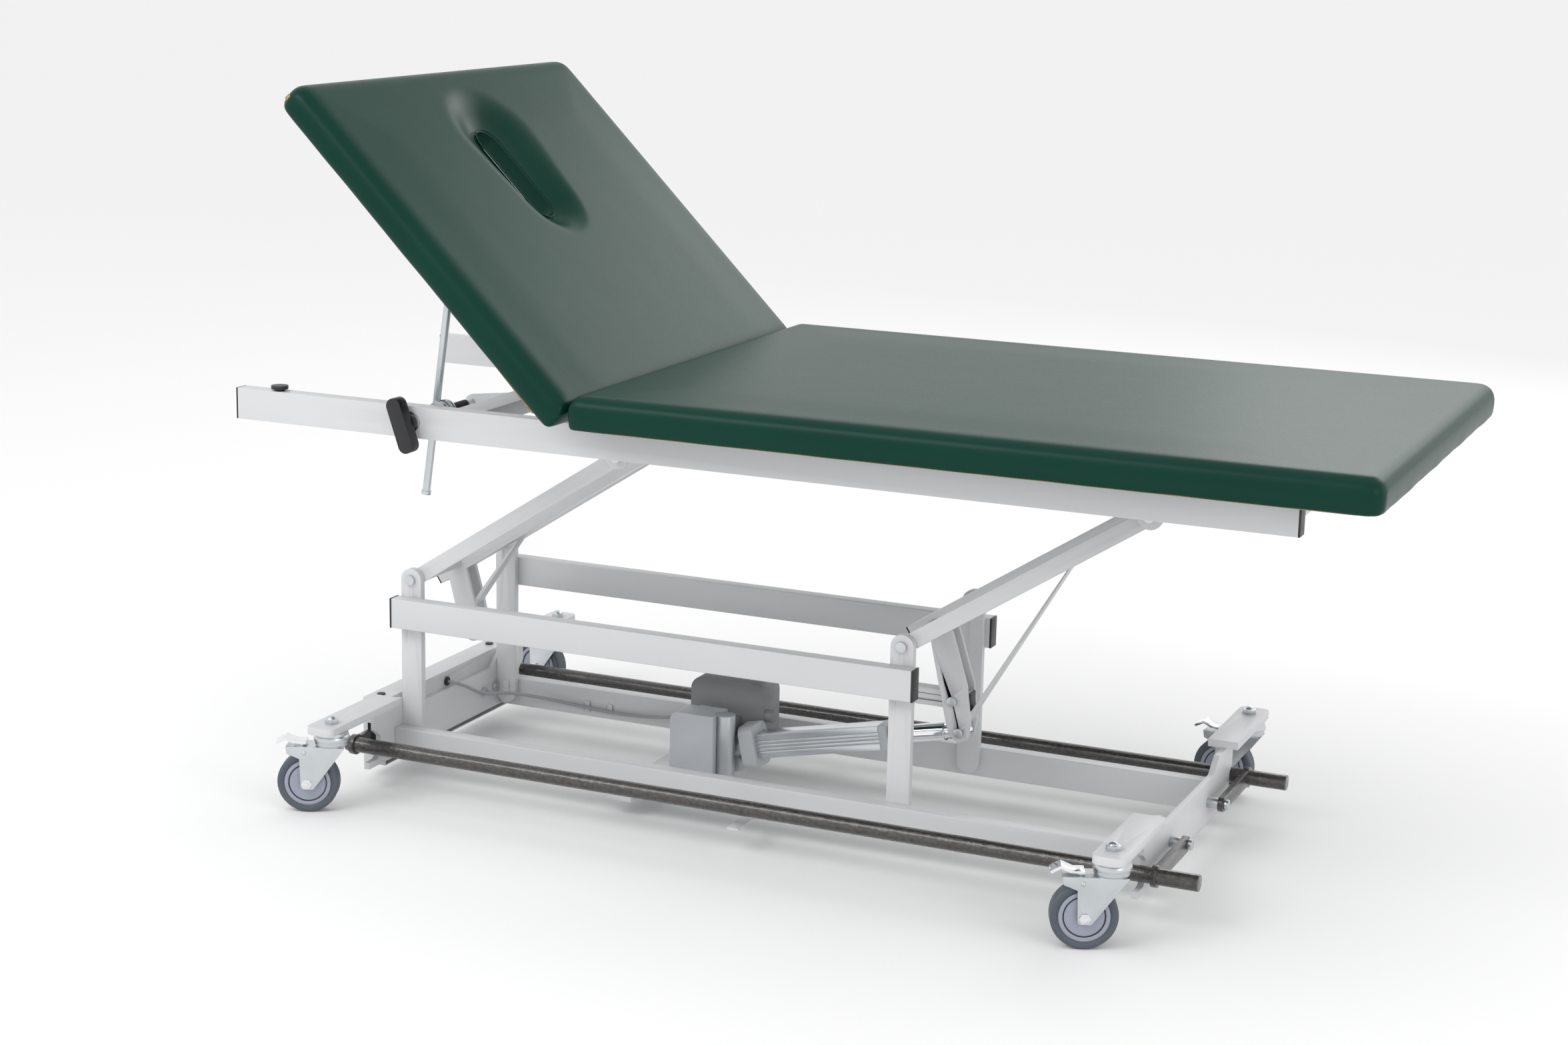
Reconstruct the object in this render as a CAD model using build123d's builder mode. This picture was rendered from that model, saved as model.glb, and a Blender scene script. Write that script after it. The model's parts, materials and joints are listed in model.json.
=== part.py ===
from build123d import *
import os
from math import atan2, cos, degrees, hypot, radians, sin, tan

os.makedirs("parts", exist_ok=True)

# Height-adjustable exam table. Millimetres, +Z up, head end at -X, operator's side at -Y.
# The origin is on the floor, under the centre of the outline.

# ---- driving dimensions -------------------------------------------------------------------
CLEAR = 0.3              # air between pieces that move past each other
FIT = 0.05               # radial clearance of a pin in its hole
WALL = 2.0               # wall of the rectangular tubes
CAP = 3.0                # head of a plastic tube cap

TOP_HALF_WIDTH = 432.0   # cushions
TOP_Z = 741.0
CUSHION_BASE_Z = 684.0
BOARD = 9.0              # plywood under each cushion
SEAT_X = (-285.0, 944.0)
HINGE_X = -314.0
HINGE_Z = 712.5
BACK_LENGTH = 647.5      # hinge axis to the head end
BACK_HALF = 28.2         # half the backrest's thickness
BACK_RISE = 46.25        # stored angle of the backrest

RAIL_Y = (306.6, 332.0)  # top frame rails
RAIL_Z = (624.0, 674.8)
TOP_RAIL_X = (-941.0, 809.0)

LOWER_PIVOT_X = (-719.3, 165.2)
LOWER_PIVOT_Z = 342.3
ARM_DX = 383.9
ARM_DZ = 248.3
ARM_LENGTH = hypot(ARM_DX, ARM_DZ)
ARM_ANGLE = degrees(atan2(ARM_DZ, ARM_DX))
UPPER_PIVOT_X = (LOWER_PIVOT_X[0] + ARM_DX, LOWER_PIVOT_X[1] + ARM_DX)
UPPER_PIVOT_Z = LOWER_PIVOT_Z + ARM_DZ
TIE_PIN = (32.5, -122.0)      # from a lower pivot
ROD_PIN = (45.7, -173.0)      # from the foot arm's lower pivot
BOLT_R = 5.0

BASE_Y = (165.8, 191.2)       # lower rails and guard rails
BASE_Z = (38.0, 88.8)
PLATE_X = (-748.0, 582.0)     # outer face of the head plate, inner face of the foot plate
PLATE = 9.5
UPRIGHT_Y = (153.1, 165.8)
GUARD_X = (-742.9, 191.7)
GUARD_Z = (262.3, 313.1)
CASTER_BAR_Z = (135.3, 148.0)
SWIVEL_X = (-738.8, 582.8)
SWIVEL_Y = 382.0
WHEEL_R = 50.0
WHEEL_HALF = 14.0
TRAIL = 38.0
BOX_X = (-790.0, -748.0)
BOX_HALF_Y = 207.0
BOX_Z = (24.0, 140.0)

FOOT_BAR_Y = 263.0
FOOT_BAR_Z = 74.5
FOOT_BAR_X = (-784.0, 681.0)
FOOT_LEVER_X = ((-775.0, -766.0), (610.0, 619.0))
FOOT_LEVER_PIVOT_Y = 106.3

REAR_PIN = (-297.0, 61.0)     # actuator's rear pin, X and Z
CLAMP = (-614.0, 650.0)       # clamp shaft's axis, X and Z
ROD_Y = -236.0                # plane of the support rod
ROD_R = 6.35
SHAFT_R = 5.0

SIDES = (-1, 1)


# ---- helpers: each adds to the sub-part whose block is open --------------------------------
def block(x, y, z, mode=Mode.ADD):
    """A box between two values on each axis."""
    with Locations(((x[0] + x[1]) / 2, (y[0] + y[1]) / 2, (z[0] + z[1]) / 2)):
        Box(x[1] - x[0], y[1] - y[0], z[1] - z[0], mode=mode)


def tube(x, y, z, along, mode=Mode.ADD):
    """A rectangular tube, open at both ends along one axis."""
    inner = [(v[0] + WALL, v[1] - WALL) for v in (x, y, z)]
    outer = (x, y, z)
    inner[along] = (outer[along][0] - 1, outer[along][1] + 1)
    block(x, y, z, mode=mode)
    block(*inner, mode=Mode.SUBTRACT)


def round_bar(axis, start, end, centre, radius, mode=Mode.ADD):
    """A round bar along "X", "Y" or "Z"; centre holds the other two coordinates in order."""
    turns = {"X": (0, 90, 0), "Y": (90, 0, 0), "Z": (0, 0, 0)}
    middle = (start + end) / 2
    places = {
        "X": (middle, centre[0], centre[1]),
        "Y": (centre[0], middle, centre[1]),
        "Z": (centre[0], centre[1], middle),
    }
    with Locations(places[axis]):
        Cylinder(radius, abs(end - start), rotation=turns[axis], mode=mode)


def plate(points, y, corner=0, mode=Mode.ADD):
    """A plate with an outline in the XZ plane, between two Y values."""
    with BuildSketch(Plane.XZ.offset(-y[0])) as outline:
        with BuildLine():
            Polyline(*points, close=True)
        make_face()
        if corner:
            fillet(outline.vertices(), corner)
    extrude(to_extrude=outline.sketch, amount=-(y[1] - y[0]), mode=mode)


def link_bar(start, end, height, y, mode=Mode.ADD):
    """A flat bar with full-round ends about two points of the XZ plane."""
    turn = degrees(atan2(end[1] - start[1], end[0] - start[0]))
    middle = ((start[0] + end[0]) / 2, (start[1] + end[1]) / 2)
    reach = hypot(end[0] - start[0], end[1] - start[1])
    with BuildSketch(Plane.XZ.offset(-y[0])) as outline:
        with Locations(middle):
            SlotCenterToCenter(reach, height, rotation=turn)
    extrude(to_extrude=outline.sketch, amount=-(y[1] - y[0]), mode=mode)


def save(piece, name):
    """Label one sub-part and write its STEP."""
    piece.part.label = name
    export_step(piece.part, f"parts/{name}.step")


def mirrored(span, side):
    """The span on the chosen side of the centre plane."""
    return tuple(sorted((side * span[0], side * span[1])))


# ---- base --------------------------------------------------------------------------------
FRAME_X = (PLATE_X[0] + PLATE, PLATE_X[1])

with BuildPart() as lower_rails:
    for side in SIDES:
        tube(FRAME_X, mirrored(BASE_Y, side), BASE_Z, 0)
save(lower_rails, "lower_rails")

with BuildPart() as uprights:
    for side in SIDES:
        for x in LOWER_PIVOT_X:
            link_bar((x, 64.1), (x, LOWER_PIVOT_Z), 38.1, mirrored(UPRIGHT_Y, side))
            round_bar("Y", -200, 200, (x, LOWER_PIVOT_Z), BOLT_R + FIT, Mode.SUBTRACT)
save(uprights, "uprights")

with BuildPart() as guard_rails:
    for side in SIDES:
        tube(GUARD_X, mirrored(BASE_Y, side), GUARD_Z, 0)
save(guard_rails, "guard_rails")

PLATE_TOP = 111.0
HOOK_TOP = CASTER_BAR_Z[0]
HOOK_Y = (165.0, 250.0)
NOTCH_Y = 235.0
NOTCH_Z = (48.0, 98.0)
TAB_Y = 272.0

with BuildPart() as end_plates:
    for start in PLATE_X:
        with BuildSketch(Plane.YZ.offset(start)) as outline:
            with BuildLine() as edge:
                half = [
                    (0, PLATE_TOP), (135, PLATE_TOP), (HOOK_Y[0], HOOK_TOP), (HOOK_Y[1], HOOK_TOP),
                    (HOOK_Y[1], NOTCH_Z[1]), (NOTCH_Y, NOTCH_Z[1] - 12), (NOTCH_Y, NOTCH_Z[0] + 12),
                    (NOTCH_Y + 12, NOTCH_Z[0]), (TAB_Y, NOTCH_Z[0]), (TAB_Y, BASE_Z[0] - 1),
                ]
                Polyline(*half, *[(-y, z) for y, z in reversed(half[1:])], close=True)
            make_face()
            fillet(outline.vertices().filter_by(lambda v: 130 < abs(v.X) < 170), 9)
        extrude(to_extrude=outline.sketch, amount=PLATE)
save(end_plates, "end_plates")

CASTER_BAR_X = ((-766.0, -716.0), (560.0, 610.0))
with BuildPart() as caster_bars:
    for side in SIDES:
        for x, centre in zip(CASTER_BAR_X, SWIVEL_X):
            block(x, mirrored((208.0, 418.0), side), CASTER_BAR_Z)
            round_bar("Z", 130, 150, (centre, side * SWIVEL_Y), BOLT_R + FIT, Mode.SUBTRACT)
    fillet(caster_bars.edges().filter_by(Axis.Z).filter_by(GeomType.LINE).filter_by(
        lambda e: abs(e.center().Y) > 400), 12)
save(caster_bars, "caster_bars")

SHEET = 1.5
LEVER_SLOT_Z = (54.5, 95.5)
GROMMET = (-5.0, 121.0)
LEAD_R = 3.0             # grey lead
with BuildPart() as control_box:
    block(BOX_X, (-BOX_HALF_Y, BOX_HALF_Y), BOX_Z)
    inner_y = (-BOX_HALF_Y + SHEET, BOX_HALF_Y - SHEET)
    block((BOX_X[0] + SHEET, BOX_X[1] - SHEET), inner_y, (BOX_Z[0] + SHEET, BOX_Z[1] - SHEET), Mode.SUBTRACT)
    block((BOX_X[1] - 2 * SHEET, BOX_X[1] + 1), inner_y, (BOX_Z[0] + SHEET, PLATE_TOP), Mode.SUBTRACT)
    for side in SIDES:
        block((-782, -759), mirrored((200, 210), side), LEVER_SLOT_Z, Mode.SUBTRACT)
    round_bar("X", -752, -746, GROMMET, 6.0, Mode.SUBTRACT)
    fillet(control_box.edges().filter_by(Axis.Y).filter_by(lambda e: e.center().X < -789), 1.2)
save(control_box, "control_box")

# Tube caps of the guard rails, the control box's hole plugs and the lead's grommet.
with BuildPart() as base_caps:
    for side in SIDES:
        span = mirrored(BASE_Y, side)
        for x, out in ((GUARD_X[0], -1), (GUARD_X[1], 1)):
            block(tuple(sorted((x, x + out * CAP))), span, GUARD_Z)
            inner = tuple(sorted((x, x - out * 12)))
            block(inner, (span[0] + WALL, span[1] - WALL), (GUARD_Z[0] + WALL, GUARD_Z[1] - WALL))
    for side in SIDES:
        round_bar("Z", BOX_Z[1], BOX_Z[1] + 2.5, (-770, side * 182), 7)
    round_bar("X", BOX_X[1], BOX_X[1] + 3, GROMMET, 8)
    round_bar("X", BOX_X[1] - SHEET, BOX_X[1] + 1, GROMMET, 5.9)
    round_bar("X", -752, -740, GROMMET, LEAD_R + 0.5, Mode.SUBTRACT)
save(base_caps, "base_caps")

CROSS_X = (-335.0, -290.0)
EAR_Y = (14.0, 20.0)
with BuildPart() as actuator_bracket:
    block(CROSS_X, (-BASE_Y[1], BASE_Y[1]), (25.0, BASE_Z[0]))
    for side in SIDES:
        link_bar((REAR_PIN[0], 40), REAR_PIN, 19, mirrored(EAR_Y, side))
        block((-306.5, CROSS_X[1]), mirrored(EAR_Y, side), (36, 42))
        round_bar("Y", side * 12.2, side * 23, REAR_PIN, 4)
        round_bar("Y", side * 20, side * 25, REAR_PIN, 6.5)
save(actuator_bracket, "actuator_bracket")

with BuildPart() as base_bolts:
    for side in SIDES:
        for x in LOWER_PIVOT_X:
            round_bar("Y", side * 134, side * UPRIGHT_Y[1], (x, LOWER_PIVOT_Z), BOLT_R - FIT)
            round_bar("Y", side * UPRIGHT_Y[1], side * (UPRIGHT_Y[1] + 6), (x, LOWER_PIVOT_Z), 8.5)
        for y in (106.0, 145.0):
            round_bar("X", FRAME_X[0], FRAME_X[0] + 6, (side * y, 75.0), 8)
            round_bar("X", PLATE_X[1] - 6, PLATE_X[1], (side * y, 75.0), 8)
    for side in SIDES:
        y = side * FOOT_LEVER_PIVOT_Y
        foot_lever = FOOT_LEVER_X[1]
        head_lever = FOOT_LEVER_X[0]
        round_bar("X", PLATE_X[1] + PLATE, foot_lever[0] - CLEAR, (y, 75), 9)
        round_bar("X", foot_lever[0] - 1, foot_lever[1] + 1, (y, 75), 5)
        round_bar("X", foot_lever[1] + CLEAR, foot_lever[1] + 7, (y, 75), 8.5)
        round_bar("X", head_lever[1] + CLEAR, PLATE_X[0], (y, 75), 9)
        round_bar("X", head_lever[0] - 1, head_lever[1] + 1, (y, 75), 5)
        round_bar("X", head_lever[0] - 7, head_lever[0] - CLEAR, (y, 75), 8.5)
    for side in SIDES:
        for x in SWIVEL_X:
            with BuildSketch(Plane.XY.offset(CASTER_BAR_Z[1])) as hexagon:
                with Locations((x, side * SWIVEL_Y)):
                    RegularPolygon(11.5, 6)
            extrude(to_extrude=hexagon.sketch, amount=8)
            with Locations((x, side * SWIVEL_Y, CASTER_BAR_Z[1] + 8)):
                Sphere(9.5, arc_size1=0)
            round_bar("Z", CASTER_BAR_Z[0], CASTER_BAR_Z[1] + 1, (x, side * SWIVEL_Y), BOLT_R)
save(base_bolts, "base_bolts")


# The grey lead: control box, round the far upright, along the far rail, into the motor's far side.
LEAD_ROUTE = [
    (-747.4, -5, 121), (-729, -4, 120), (-719, 12, 112), (-716, 36, 98), (-717, 66, 84),
    (-717, 98, 75), (-714, 122, 71), (-700, 139, 68), (-676, 147, 66), (-640, 154, 63),
    (-590, 159, 58), (-540, 160.5, 54), (-490, 160, 53), (-440, 157, 56), (-390, 152, 63),
    (-345, 146, 75), (-308, 139, 91), (-283, 128, 102), (-274, 112, 106), (-273, 95.5, 106.5),
]


def corner_radii(points):
    """Radius of the arc at each inner point of a route."""
    radii = []
    for a, b, c in zip(points, points[1:], points[2:]):
        first = Vector(*b) - Vector(*a)
        second = Vector(*c) - Vector(*b)
        turn = radians(first.get_angle(second))
        radii.append(0.45 * min(first.length, second.length) / tan(turn / 2))
    return radii


LEAD_RADII = corner_radii(LEAD_ROUTE)
print("lead radii", [round(r) for r in LEAD_RADII])
with BuildPart() as motor_cable:
    with BuildLine() as lead_path:
        FilletPolyline(*LEAD_ROUTE, radius=LEAD_RADII)
    with BuildSketch(Plane(origin=lead_path.line @ 0, z_dir=lead_path.line % 0)) as lead_section:
        Circle(LEAD_R)
    sweep(sections=lead_section.sketch, path=lead_path.line)
LEAD_LENGTH = sum(edge.length for edge in lead_path.edges())
print("lead length", round(LEAD_LENGTH, 1), "volume ratio",
      round(motor_cable.part.volume / (3.14159265 * LEAD_R ** 2 * LEAD_LENGTH), 4))
save(motor_cable, "motor_cable")

GUIDE_X = (-80.0, -60.0)
with BuildPart() as rail_clips:
    for side in SIDES:
        block(GUIDE_X, mirrored((BASE_Y[1], TAB_Y), side), (38.0, 42.0))
    block((-724, -712), (150.2, 153.1), (60, 86))
    for x in (-560, -515):
        block((x - 6, x + 6), (163.9, 165.8), (46, 66))
save(rail_clips, "rail_clips")


# ---- lift arms -----------------------------------------------------------------------------
SPINE_HALF = 19.05
SIDE_BAR_Y = (143.4, 152.8)
PIVOT_TUBE_R = 11.0
SPINE_BACK = 46.0        # beyond the lower pivot
SPINE_REACH = 447.0


def arm_plane(pivot_x):
    """Local X runs up the arm from its lower pivot, local Y points to the operator's far side."""
    direction = (cos(radians(ARM_ANGLE)), 0, sin(radians(ARM_ANGLE)))
    normal = (-sin(radians(ARM_ANGLE)), 0, cos(radians(ARM_ANGLE)))
    return Plane(origin=(pivot_x, 0, LOWER_PIVOT_Z), x_dir=direction, z_dir=normal)


def below_spine(distance):
    """Point on the spine's underside, from the lower pivot, at a distance along the arm."""
    turn = radians(ARM_ANGLE)
    return (distance * cos(turn) + SPINE_HALF * sin(turn), distance * sin(turn) - SPINE_HALF * cos(turn))


def shift(points, x):
    """Points given from a lower pivot, moved to that pivot."""
    return [(px + x, pz + LOWER_PIVOT_Z) for px, pz in points]


def make_arm(name, pivot_x, pins, outline, lobe, brace):
    """One lift arm: spine and cross tubes, side bars, lever with its brace, cap and bolts."""
    with BuildPart(arm_plane(pivot_x)) as spine:
        block((-SPINE_BACK, SPINE_REACH), (-SPINE_HALF, SPINE_HALF), (-SPINE_HALF, SPINE_HALF))
        inner = (-SPINE_HALF + WALL, SPINE_HALF - WALL)
        block((-SPINE_BACK - 1, SPINE_REACH - WALL), inner, inner, Mode.SUBTRACT)
        for along in (0, ARM_LENGTH):
            round_bar("Y", -SIDE_BAR_Y[0], SIDE_BAR_Y[0], (along, 0), PIVOT_TUBE_R)
            for side in SIDES:
                round_bar("Y", side * SIDE_BAR_Y[0], side * SIDE_BAR_Y[1], (along, 0), 12.7)
        for side in SIDES:
            block((0, ARM_LENGTH), mirrored(SIDE_BAR_Y, side), (-12.7, 12.7))
            for along in (0, ARM_LENGTH):
                round_bar("Y", side * (SIDE_BAR_Y[0] - 10), side * 170, (along, 0), BOLT_R, Mode.SUBTRACT)
    save(spine, name)

    with BuildPart() as lever:
        for side in SIDES:
            span = mirrored((12.7, SPINE_HALF), side)
            plate(shift(outline, pivot_x), span)
            for centre, radius in lobe:
                round_bar("Y", span[0], span[1], shift([centre], pivot_x)[0], radius)
            for pin in pins:
                round_bar("Y", span[0] - 1, span[1] + 1, shift([pin], pivot_x)[0], BOLT_R, Mode.SUBTRACT)
        plate(shift(brace, pivot_x), (-12.7, 12.7))
    save(lever, f"{name}_lever")

    with BuildPart(arm_plane(pivot_x)) as cap:
        half = (-SPINE_HALF, SPINE_HALF)
        plug = (-SPINE_HALF + WALL, SPINE_HALF - WALL)
        block((-SPINE_BACK - CAP, -SPINE_BACK), half, half)
        block((-SPINE_BACK, -SPINE_BACK + 12), plug, plug)
    save(cap, f"{name}_cap")

    with BuildPart() as bolts:
        for pin in pins:
            centre = shift([pin], pivot_x)[0]
            round_bar("Y", -SPINE_HALF, SPINE_HALF, centre, BOLT_R)
            for side in SIDES:
                round_bar("Y", side * SPINE_HALF, side * (SPINE_HALF + 6), centre, 8)
    save(bolts, f"{name}_bolts")


FOOT_LEVER = [
    below_spine(-22), below_spine(21), (56.5, -94), (64.4, -154), (61, -182), (45.7, -190.5),
    (30, -182), (25, -171), (16, -133),
]
FOOT_BRACE = [(51, -155), (57, -158.5), below_spine(247), below_spine(240)]
make_arm("foot_arm", LOWER_PIVOT_X[1], [TIE_PIN, ROD_PIN], FOOT_LEVER, [], FOOT_BRACE)
HEAD_LEVER = [
    below_spine(-28), below_spine(11), (36, -68), (47.4, -119), (17.6, -124), (-2.5, -73),
]
HEAD_BRACE = [(27, -72), (33, -75), below_spine(136), below_spine(129)]
make_arm("head_arm", LOWER_PIVOT_X[0], [TIE_PIN], HEAD_LEVER, [(TIE_PIN, 15)], HEAD_BRACE)

TIE_HALF_Y = 12.3
TIE_HALF_Z = 14.3
TIE_Z = LOWER_PIVOT_Z + TIE_PIN[1]
TIE_X = (LOWER_PIVOT_X[0] + TIE_PIN[0] - 19, LOWER_PIVOT_X[1] + TIE_PIN[0] + 25)
with BuildPart() as tie_link:
    tube(TIE_X, (-TIE_HALF_Y, TIE_HALF_Y), (TIE_Z - TIE_HALF_Z, TIE_Z + TIE_HALF_Z), 0)
    for x in LOWER_PIVOT_X:
        round_bar("Y", -20, 20, (x + TIE_PIN[0], TIE_Z), BOLT_R + FIT, Mode.SUBTRACT)
save(tie_link, "tie_link")

with BuildPart() as tie_link_caps:
    for x, out in ((TIE_X[0], -1), (TIE_X[1], 1)):
        block(tuple(sorted((x, x + out * CAP))), (-TIE_HALF_Y, TIE_HALF_Y), (TIE_Z - TIE_HALF_Z, TIE_Z + TIE_HALF_Z))
        block(tuple(sorted((x, x - out * 8))), (-TIE_HALF_Y + WALL, TIE_HALF_Y - WALL),
              (TIE_Z - TIE_HALF_Z + WALL, TIE_Z + TIE_HALF_Z - WALL))
save(tie_link_caps, "tie_link_caps")


# ---- actuator, along its own axis from the rear pin -----------------------------------------
ROD_END = (LOWER_PIVOT_X[1] + ROD_PIN[0], LOWER_PIVOT_Z + ROD_PIN[1])
STROKE_X = ROD_END[0] - REAR_PIN[0]
STROKE_Z = ROD_END[1] - REAR_PIN[1]
PIN_TO_PIN = hypot(STROKE_X, STROKE_Z)
TUBE_DIR = (STROKE_X / PIN_TO_PIN, 0, STROKE_Z / PIN_TO_PIN)
TUBE_UP = (-TUBE_DIR[2], 0, TUBE_DIR[0])
ACTUATOR = Plane(origin=(REAR_PIN[0], 0, REAR_PIN[1]), x_dir=TUBE_DIR, z_dir=TUBE_UP)
TUBE_SPAN = (156.0, 379.0)
GUIDE_SPAN = (379.0, 393.0)
PISTON_R = 15.0

with BuildPart(ACTUATOR) as actuator_rod:
    round_bar("X", 268, PIN_TO_PIN - 30, (0, 0), PISTON_R)
    round_bar("X", PIN_TO_PIN - 32, PIN_TO_PIN - 6, (0, 0), 11)
    round_bar("Y", -12, 12, (PIN_TO_PIN, 0), 14.5)
    round_bar("Y", -13, 13, (PIN_TO_PIN, 0), BOLT_R + FIT, Mode.SUBTRACT)
save(actuator_rod, "actuator_rod")

with BuildPart(ACTUATOR) as actuator_tube:
    block(TUBE_SPAN, (-20, 20), (-20, 20))
    round_bar("X", TUBE_SPAN[0] - 1, TUBE_SPAN[1] + 1, (0, 0), 16.5, Mode.SUBTRACT)
    for side in SIDES:
        for level in (-9, -3, 3, 9):
            block(TUBE_SPAN, mirrored((19.2, 21), side), (level - 1, level + 1), Mode.SUBTRACT)
save(actuator_tube, "actuator_tube")

with BuildPart(ACTUATOR) as actuator_guide:
    block(GUIDE_SPAN, (-21.5, 21.5), (-21.5, 21.5))
    round_bar("X", GUIDE_SPAN[0] - 1, GUIDE_SPAN[1] + 1, (0, 0), PISTON_R + FIT, Mode.SUBTRACT)
save(actuator_guide, "actuator_guide")

with BuildPart(ACTUATOR) as actuator_collar:
    block((130, 155.8), (-29, 29), (-36, 36))
    fillet(actuator_collar.edges().filter_by(Axis((0, 0, 0), TUBE_DIR)), 14)
save(actuator_collar, "actuator_collar")

GEAR_X = (-284.0, -205.0)
GEAR_Y = (-62.0, -5.0)
WORM = (-196.0, -33.0)          # upright axis of the silver gear housing
with BuildPart() as gearbox_cover:
    block(GEAR_X, GEAR_Y, (28, 147))
    rear_edges = gearbox_cover.edges().filter_by(Axis.Y).group_by(Axis.X)[0].sort_by(Axis.Z)
    fillet(rear_edges[0], 30)
    fillet(gearbox_cover.edges().filter_by(Axis.Y).group_by(Axis.X)[0].sort_by(Axis.Z)[-1], 14)
    round_bar("Z", 20, 150, WORM, 17.3, Mode.SUBTRACT)
    block((-290, -254), (-10.5, 0), (20, 150), Mode.SUBTRACT)
save(gearbox_cover, "gearbox_cover")

with BuildPart(ACTUATOR) as gear_housing:
    round_bar("X", 100, 130, (0, 0), 18)
    round_bar("Y", -10, 10, (0, 0), 13.5)
    block((0, 40), (-10, 10), (-13.5, 13.5))
    with BuildSketch(Plane.XY.offset(34)) as worm_section:
        with Locations(WORM):
            Circle(17)
    extrude(to_extrude=worm_section.sketch, amount=112)
    block((24, 112), (-4.7, 29.8), (-44, 44))
    round_bar("Y", -11, 11, (0, 0), 4 + FIT, Mode.SUBTRACT)
save(gear_housing, "gear_housing")

MOTOR_X = (-290.0, -155.0)
MOTOR_Y = (30.0, 95.0)
MOTOR_Z = (50.0, 185.0)
with BuildPart() as motor_housing:
    block(MOTOR_X, MOTOR_Y, MOTOR_Z)
    fillet(motor_housing.edges().filter_by(Axis.Y), 22)
    round_bar("X", MOTOR_X[1], MOTOR_X[1] + 15, (42, 130), 11)
save(motor_housing, "motor_housing")


# ---- top frame -----------------------------------------------------------------------------
CLEAT_X = (-200.0, 300.0, 700.0)   # raised pads that carry the seat
BUMPER = (-868.0, 319.3)
EAR_SPAN = (315.0, 323.0)          # hinge ears, one on each rail, with their pins
with BuildPart() as top_rails:
    for side in SIDES:
        tube(TOP_RAIL_X, mirrored(RAIL_Y, side), RAIL_Z, 0)
        round_bar("Y", side * 300, side * 340, CLAMP, SHAFT_R + FIT, Mode.SUBTRACT)
        for start in CLEAT_X:
            block((start, start + 70), mirrored(RAIL_Y, side), (RAIL_Z[1], CUSHION_BASE_Z))
        ear = mirrored(EAR_SPAN, side)
        round_bar("Y", ear[0], ear[1], (HINGE_X, HINGE_Z), 12)
        block((HINGE_X - 12, HINGE_X + 12), ear, (RAIL_Z[1], HINGE_Z))
        round_bar("Y", side * 305.5, side * 332.5, (HINGE_X, HINGE_Z), 4)
save(top_rails, "top_rails")

# Tube caps of the top rails and the bumpers that the backrest lies on.
with BuildPart() as top_caps:
    for side in SIDES:
        span = mirrored(RAIL_Y, side)
        for x, out in ((TOP_RAIL_X[0], -1), (TOP_RAIL_X[1], 1)):
            block(tuple(sorted((x, x + out * CAP))), span, RAIL_Z)
            block(tuple(sorted((x, x - out * 12))), (span[0] + WALL, span[1] - WALL),
                  (RAIL_Z[0] + WALL, RAIL_Z[1] - WALL))
        round_bar("Z", RAIL_Z[1], RAIL_Z[1] + 4, (BUMPER[0], side * BUMPER[1]), 8)
        round_bar("Z", RAIL_Z[1] + 3, RAIL_Z[1] + 8.5, (BUMPER[0], side * BUMPER[1]), 14)
save(top_caps, "top_caps")

CLAMP_TUBE_X = (-548.0, -498.0)
CROSS_SPAN = (-RAIL_Y[0], RAIL_Y[0])
TAB_PLATE_Y = (153.1, 162.6)
with BuildPart() as cross_members:
    tube(CLAMP_TUBE_X, CROSS_SPAN, (647, 672.4), 1)
    for x in (*UPPER_PIVOT_X, 760.0):
        tube((x - 25.4, x + 25.4), CROSS_SPAN, (RAIL_Z[0], RAIL_Z[0] + 25.4), 1)
    for side in SIDES:
        span = mirrored(TAB_PLATE_Y, side)
        for x in UPPER_PIVOT_X:
            round_bar("Y", span[0], span[1], (x, UPPER_PIVOT_Z), 20)
            block((x - 20, x + 20), span, (UPPER_PIVOT_Z, RAIL_Z[0]))
            round_bar("Y", span[0] - 1, span[1] + 1, (x, UPPER_PIVOT_Z), BOLT_R + FIT, Mode.SUBTRACT)
    plate([(CLAMP[0], 636), (CLAMP_TUBE_X[0], 647.2), (CLAMP_TUBE_X[0], 672), (CLAMP[0], 664)], (-140, -134))
    round_bar("Y", -140, -134, CLAMP, 14)
    round_bar("Y", -141, -133, CLAMP, SHAFT_R + FIT, Mode.SUBTRACT)
save(cross_members, "cross_members")

with BuildPart() as upper_pivot_bolts:
    for side in SIDES:
        for x in UPPER_PIVOT_X:
            round_bar("Y", side * 134, side * 162.6, (x, UPPER_PIVOT_Z), BOLT_R - FIT)
            round_bar("Y", side * 162.6, side * 168.6, (x, UPPER_PIVOT_Z), 8.5)
save(upper_pivot_bolts, "upper_pivot_bolts")

BOARD_TOP = CUSHION_BASE_Z + BOARD
with BuildPart() as seat_board:
    block((SEAT_X[0] + 8, SEAT_X[1] - 8), (-TOP_HALF_WIDTH + 8, TOP_HALF_WIDTH - 8), (CUSHION_BASE_Z, BOARD_TOP))
    fillet(seat_board.edges().filter_by(Axis.Z), 40)
save(seat_board, "seat_board")

with BuildPart() as seat_cushion:
    block(SEAT_X, (-TOP_HALF_WIDTH, TOP_HALF_WIDTH), (BOARD_TOP, TOP_Z))
    fillet(seat_cushion.edges().filter_by(Axis.Z).group_by(Axis.X)[-1], 45)
    fillet(seat_cushion.edges().filter_by(Axis.Z).group_by(Axis.X)[0], 25)
    fillet(seat_cushion.faces().sort_by(Axis.Z)[-1].edges(), 24)
save(seat_cushion, "seat_cushion")

JAW_R = 19.0
with BuildPart() as clamp_shaft:
    round_bar("Y", -350, -100, CLAMP, SHAFT_R)
    for start, end in ((-249.6, -243.0), (-229.0, -222.4)):
        round_bar("Y", start, end, CLAMP, JAW_R)
    round_bar("Y", -336, -332.2, CLAMP, 17)
save(clamp_shaft, "clamp_shaft")

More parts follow.
